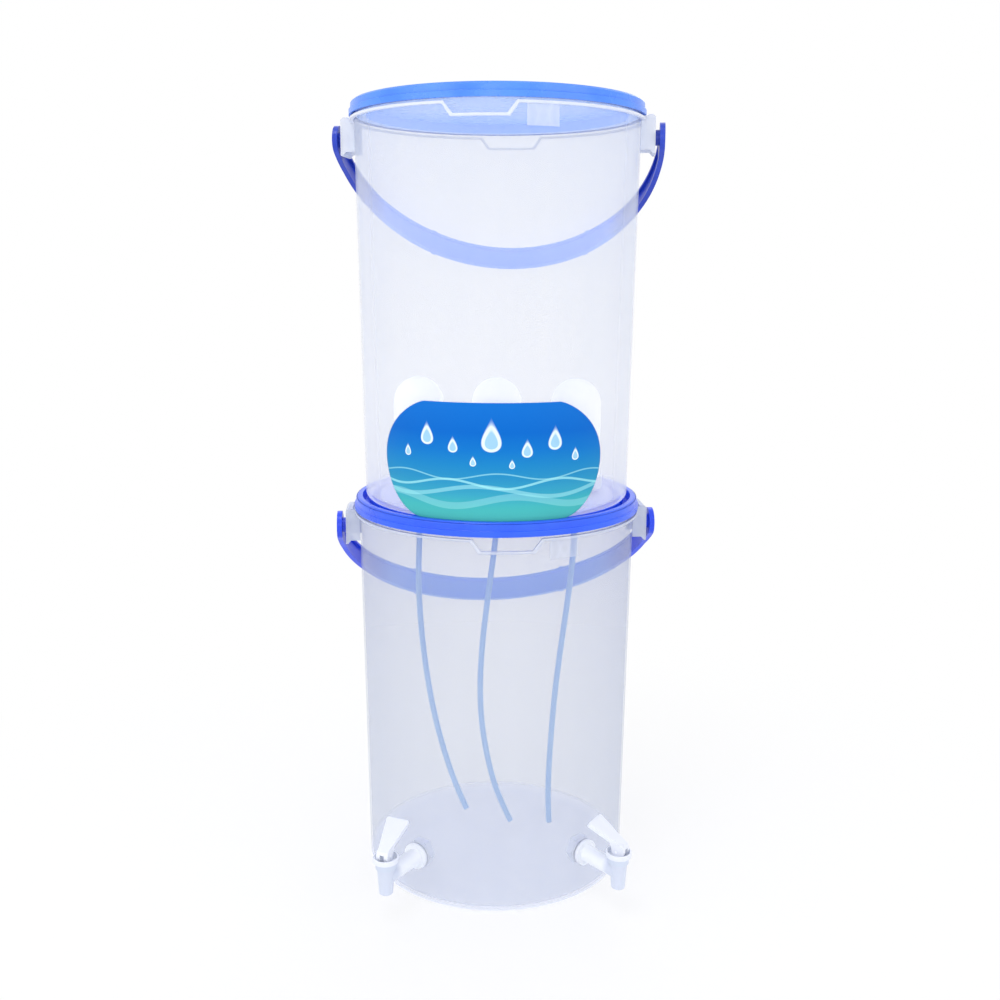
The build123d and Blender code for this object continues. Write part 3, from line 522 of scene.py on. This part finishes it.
def add_drops(material, across, up, ground):
    """Lays the drops and then their cores over the ground. A drop is where s cubed times the rest of
    the length exceeds the square of the distance aside times the length and the slimness."""
    shapes = [(x, tip, length, "#eefcff", 0.92) for x, tip, length in DROPS]
    shapes += [(x, tip - CORE_DOWN * s, CORE_LENGTH * s, "#49b4e6", 0.60) for x, tip, s in DROPS]
    for middle, tip, length, code, strength in shapes:
        along = add(material, "ShaderNodeMath", {0: tip, 1: up}, operation="SUBTRACT")
        below = add(material, "ShaderNodeMath", {0: along, 1: 0.0}, operation="MAXIMUM")
        cubed = add(material, "ShaderNodeMath", {0: below, 1: 3.0}, operation="POWER")
        rest = add(material, "ShaderNodeMath", {0: length, 1: along}, operation="SUBTRACT")
        left = add(material, "ShaderNodeMath", {0: rest, 1: 0.0}, operation="MAXIMUM")
        wide = add(material, "ShaderNodeMath", {0: cubed, 1: left}, operation="MULTIPLY")
        aside = add(material, "ShaderNodeMath", {0: across, 1: middle}, operation="SUBTRACT")
        scaled = add(material, "ShaderNodeMath", {0: aside, 1: SLIMNESS * length}, operation="MULTIPLY")
        squared = add(material, "ShaderNodeMath", {0: scaled, 1: scaled}, operation="MULTIPLY")
        inside = add(material, "ShaderNodeMath", {0: wide, 1: squared}, operation="SUBTRACT")
        mask = add(
            material, "ShaderNodeMapRange",
            {"Value": inside, "From Max": DROP_BLUR * length ** 4, "To Max": strength},
        )
        ground = add(
            material, "ShaderNodeMix", {"Factor": mask, 6: ground, 7: linear(code)}, data_type="RGBA",
        ).outputs[2]
    return ground


# %% [markdown]
# The film is gravure-printed and has a matt overlaminate that mirrors little. The ground runs from a
# clear blue at the top to teal at the foot, and the film ripples faintly where air stayed under it.

# %% Print the label
PRINT_HEIGHT = 1.09


def label_print():
    """Gradient, wave bands and drops, drawn from the UV map in decimetres."""
    material = start("printed_vinyl")
    uv = add(material, "ShaderNodeUVMap", uv_map="print")
    parts = add(material, "ShaderNodeSeparateXYZ", {"Vector": uv})
    across, up = parts.outputs["X"], parts.outputs["Y"]
    share = add(material, "ShaderNodeMath", {0: up, 1: PRINT_HEIGHT}, operation="DIVIDE")
    ground = add(
        material, "ShaderNodeValToRGB", {"Fac": share},
        stops=[(0.03, "#52c6bc"), (0.12, "#48bcbc"), (0.23, "#39a5c3"), (0.35, "#2a92c3"),
               (0.47, "#1b87c7"), (0.60, "#0b77cb"), (0.75, "#0069ca"), (1.0, "#0e72d2")],
    ).outputs["Color"]
    ground = add_waves(material, across, up, ground)
    ground = add_drops(material, across, up, ground)
    place = add(material, "ShaderNodeTexCoord").outputs["Object"]
    clouds = add(material, "ShaderNodeTexNoise", {"Vector": place, "Scale": 1 / (33 * MM), "Detail": 4.0})
    gloss = add(material, "ShaderNodeMapRange", {"Value": clouds, "To Min": 0.30, "To Max": 0.42})
    ripple = add(material, "ShaderNodeBump", {"Height": clouds, "Strength": 0.10, "Distance": 0.6 * MM})
    film = add(
        material, "ShaderNodeBsdfPrincipled",
        {"Base Color": ground, "Roughness": gloss, "Normal": ripple, "IOR": 1.5,
         "Specular IOR Level": 0.10},
    )
    add(material, "ShaderNodeOutputMaterial", {"Surface": film})
    return material


label_mesh.materials.append(label_print())
print("print nodes", len(label_mesh.materials[0].node_tree.nodes))

# %% [markdown]
# ## Smooth skins for the CAD pieces
# The CAD mesh is loose triangles, which would show as facets. A merged copy of each piece with
# smooth shading between edges sharper than an angle, and a fine bevel on those edges, catches light
# as a moulded edge does. The lids' edges are rounder, which widens the line of light on their rims.

# %% Lay a skin
EDGE, LID_EDGE = 0.25 * MM, 0.8 * MM
SHARP_ANGLE, EDGE_SEGMENTS = math.radians(28), 2
MERGE_WITHIN = 1e-6


def skin(node, body, slot, material, bevel):
    """A merged, smooth, finely bevelled copy of a CAD piece, in the same place."""
    mesh = nodes[node].data.copy()
    mesh.name = f"{node}_skin"
    shape = bmesh.new()
    shape.from_mesh(mesh)
    bmesh.ops.remove_doubles(shape, verts=shape.verts, dist=MERGE_WITHIN)
    for face in shape.faces:
        face.smooth = True
    for edge in shape.edges:
        edge.smooth = not (edge.is_manifold and edge.calc_face_angle(0) > SHARP_ANGLE)
    shape.to_mesh(mesh)
    shape.free()
    mesh.materials.clear()
    mesh.materials.append(material)
    piece = bpy.data.objects.new(f"{node}_skin", mesh)
    scene.collection.objects.link(piece)
    edges = piece.modifiers.new("edges", "BEVEL")
    edges.width = bevel
    edges.segments = EDGE_SEGMENTS
    edges.limit_method = "ANGLE"
    edges.angle_limit = SHARP_ANGLE
    edges.use_clamp_overlap = True
    edges.harden_normals = True
    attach(piece, body)
    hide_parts(node)
    return piece


# %% [markdown]
# Each piece takes its finish from its material slot in the model's record. Some pieces of a slot
# have a finish of their own, such as the lower bucket and the upper handle with painted shade, the
# upper lid with painted light, and parts of the taps.

# %% Lay all skins
body_of_node = {n: b for b, group in frame["record"]["behaviour"]["bodies"].items() for n in group}
slot_of_node = {row["node"]: row["material_slot"] for row in frame["record"]["subparts"]}
finishes = {
    "natural_pp": upper_plastic, "blue_pp": lid_plastic, "blue_handle": handle_plastic,
    "candle_ceramic": ceramic, "carbon_block": carbon,
    "white_plastic": tap_plastic, "white_rubber": gasket_silicone,
}
own_finish = {
    "lower_bucket": shaded_lower_plastic, "upper_lid": lit_lid_plastic, "upper_handle": shaded_handle_plastic,
    "tap_left_body": tap_body_plastic, "tap_right_body": tap_body_plastic,
    "tap_left_bonnet": bonnet_plastic, "tap_right_bonnet": bonnet_plastic,
    "tap_left_stem": stem_plastic, "tap_right_stem": stem_plastic,
}
skins = {}
for node in sorted(nodes):
    if node.startswith("hose_") or node == "label":
        continue
    slot = slot_of_node[node]
    finish = own_finish.get(node, finishes[slot])
    bevel = LID_EDGE if slot == "blue_pp" else EDGE
    skins[node] = skin(node, body_of_node[node], slot, finish, bevel)
print("skins", len(skins), "triangles", sum(len(s.data.polygons) for s in skins.values()))

# %% [markdown]
# ## Floor and surround
# A pale floor and a white surround light the filter from all sides, as a light tent does. What is
# seen directly, mirrored or through glass shows them plain white, while the light that they throw on
# the filter is a little lower, so pale plastic keeps its tone.

# %% Set the floor
def sight_rays(owner):
    """1 for a ray from the camera, off a gloss or through glass, and 0 for light that bounces."""
    rays = add(owner, "ShaderNodeLightPath").outputs
    mirrored = {0: rays["Is Camera Ray"], 1: rays["Is Glossy Ray"]}
    seen = add(owner, "ShaderNodeMath", mirrored, operation="MAXIMUM")
    return add(owner, "ShaderNodeMath", {0: seen, 1: rays["Is Transmission Ray"]}, operation="MAXIMUM")


def stand():
    """A pale floor that takes the shadow near the object and is plain white to the camera far off."""
    material = start("pale_floor")
    place = add(material, "ShaderNodeTexCoord").outputs["Object"]
    away = add(material, "ShaderNodeVectorMath", {0: place}, operation="LENGTH").outputs["Value"]
    far = add(
        material, "ShaderNodeMapRange",
        {"Value": away, "From Min": 0.18, "From Max": 0.75, "To Min": 0.72, "To Max": 1.0},
    )
    share = add(material, "ShaderNodeMath", {0: far, 1: sight_rays(material)}, operation="MULTIPLY")
    paint = add(
        material, "ShaderNodeBsdfPrincipled", {"Base Color": linear("#f7f8fb"), "Roughness": 0.7},
    )
    white = add(material, "ShaderNodeEmission", {"Color": (1, 1, 1, 1), "Strength": 1.0})
    shown = add(material, "ShaderNodeMixShader", {"Fac": share, 1: paint, 2: white})
    add(material, "ShaderNodeOutputMaterial", {"Surface": shown})
    return material


FLOOR_HALF, FLOOR_LEVEL = 6.0, -0.0005
corners = ((-1, -1), (1, -1), (1, 1), (-1, 1))
floor_mesh = bpy.data.meshes.new("floor")
floor_mesh.from_pydata(
    [(x * FLOOR_HALF, y * FLOOR_HALF, FLOOR_LEVEL) for x, y in corners], [], [(0, 1, 2, 3)],
)
floor_mesh.materials.append(stand())
floor = bpy.data.objects.new("floor", floor_mesh)
scene.collection.objects.link(floor)
print("floor", [round(v, 1) for v in floor.dimensions[:2]], "m")

# %% Set the surround
AMBIENT = 0.79
world = bpy.data.worlds.new("studio")
scene.world = world
world.use_nodes = True
world.node_tree.nodes.clear()
seen = sight_rays(world)
ambient = add(world, "ShaderNodeBackground", {"Color": (1, 1, 1, 1), "Strength": AMBIENT})
white = add(world, "ShaderNodeBackground", {"Color": (1, 1, 1, 1), "Strength": 1.0})
around = add(world, "ShaderNodeMixShader", {"Fac": seen, 1: ambient, 2: white})
add(world, "ShaderNodeOutputWorld", {"Surface": around})
print("ambient light", AMBIENT)

# %% [markdown]
# ## Lamps
# A soft lamp overhead draws bright lines on the rims of the lids, wide ones at both sides and behind
# keep the milky walls even, and a small one in front gives the upper lid's skirt its gloss.

# %% Set the lamps
def lamp(name, place, aim, size, power):
    """A square area lamp that faces a point. Size is in metres and power in watts."""
    data = bpy.data.lights.new(name, "AREA")
    data.size = size
    data.energy = power
    light = bpy.data.objects.new(name, data)
    scene.collection.objects.link(light)
    light.location = place
    direction = np.array(aim) - np.array(place)
    yaw = math.atan2(direction[1], direction[0])
    drop = math.atan2(math.hypot(direction[0], direction[1]), -direction[2])
    light.rotation_euler = (drop, 0, yaw - math.pi / 2)


lamp("overhead_lamp", (-0.5, -0.9, 2.6), (0, 0, 0.4), 0.8, 10)
lamp("left_lamp", (-2.0, -1.6, 1.3), (0, 0, 0.4), 1.8, 12)
lamp("right_lamp", (2.0, -1.6, 1.3), (0, 0, 0.4), 1.8, 12)
lamp("front_lamp", (-0.15, -2.2, 1.0), (0, 0, 0.7), 0.5, 2)
lamp("back_lamp", (0.3, 2.2, 2.0), (0, 0, 0.4), 1.8, 10)
scene.view_settings.view_transform = "Standard"
